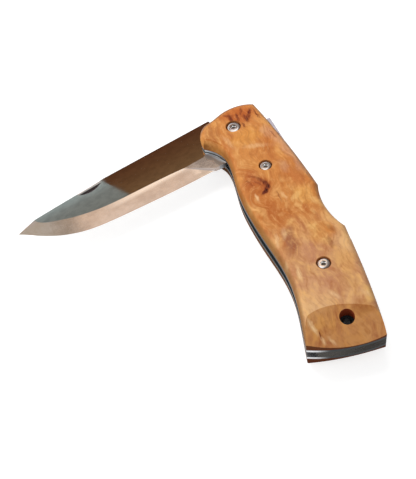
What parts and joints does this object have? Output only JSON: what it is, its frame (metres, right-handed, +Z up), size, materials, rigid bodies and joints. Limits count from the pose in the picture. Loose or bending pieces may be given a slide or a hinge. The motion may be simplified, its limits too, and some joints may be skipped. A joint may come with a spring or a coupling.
{
  "type": "folding pocket knife",
  "caption": "Lock-back folding knife with a drop-point blade, steel liners and screwed wooden scales, half open; the blade swings out on a pivot and a rocking bar locks it.",
  "frame": {"origin": "on the far scale's flat outer face, in the middle of the grip", "axes": "+X from the blade pivot towards the butt, +Y towards the handle's back and its lock bar, +Z up through the near scale"},
  "size_m": [0.1192, 0.1126, 0.015],
  "materials": {
    "blade_steel": "satin flats with finely ground bevels",
    "lock_steel": "satin",
    "liner_steel": "satin",
    "spacer_steel": "dark satin",
    "pin_steel": "ground",
    "screw_steel": "polished",
    "washer_brass": "plain",
    "scale_wood": "oiled figured wood, low gloss"
  },
  "bodies": {
    "handle": {"scale_near": "scale_wood", "scale_far": "scale_wood", "liner_near": "liner_steel", "liner_far": "liner_steel", "back_spacer": "spacer_steel", "lock_spring": "lock_steel", "lock_bar_pin": "pin_steel", "spacer_pin_front": "pin_steel", "spacer_pin_rear": "pin_steel", "pivot_barrel": "pin_steel", "pivot_screw_near": "screw_steel", "pivot_screw_far": "screw_steel", "washer_near": "washer_brass", "washer_far": "washer_brass", "mid_screw_near": "screw_steel", "mid_screw_far": "screw_steel", "rear_screw_near": "screw_steel", "rear_screw_far": "screw_steel"},
    "blade": {"blade": "blade_steel"},
    "lock_bar": {"lock_bar": "lock_steel"}
  },
  "joints": [
    {"name": "blade_pivot", "type": "hinge", "parent": "handle", "child": "blade", "pos_m": [-0.046, -0.004, 0.0075], "axis": [0, 0, -1], "range_deg": [-78.5, 95.5]},
    {"name": "lock_bar_rock", "type": "hinge", "parent": "handle", "child": "lock_bar", "pos_m": [-0.0202, 0.0096, 0.0075], "axis": [0, 0, -1], "range_deg": [0, 2], "stiffness_Nm_per_rad": 0.5, "springref_deg": -8.59, "deforming": ["lock_spring"]}
  ]
}
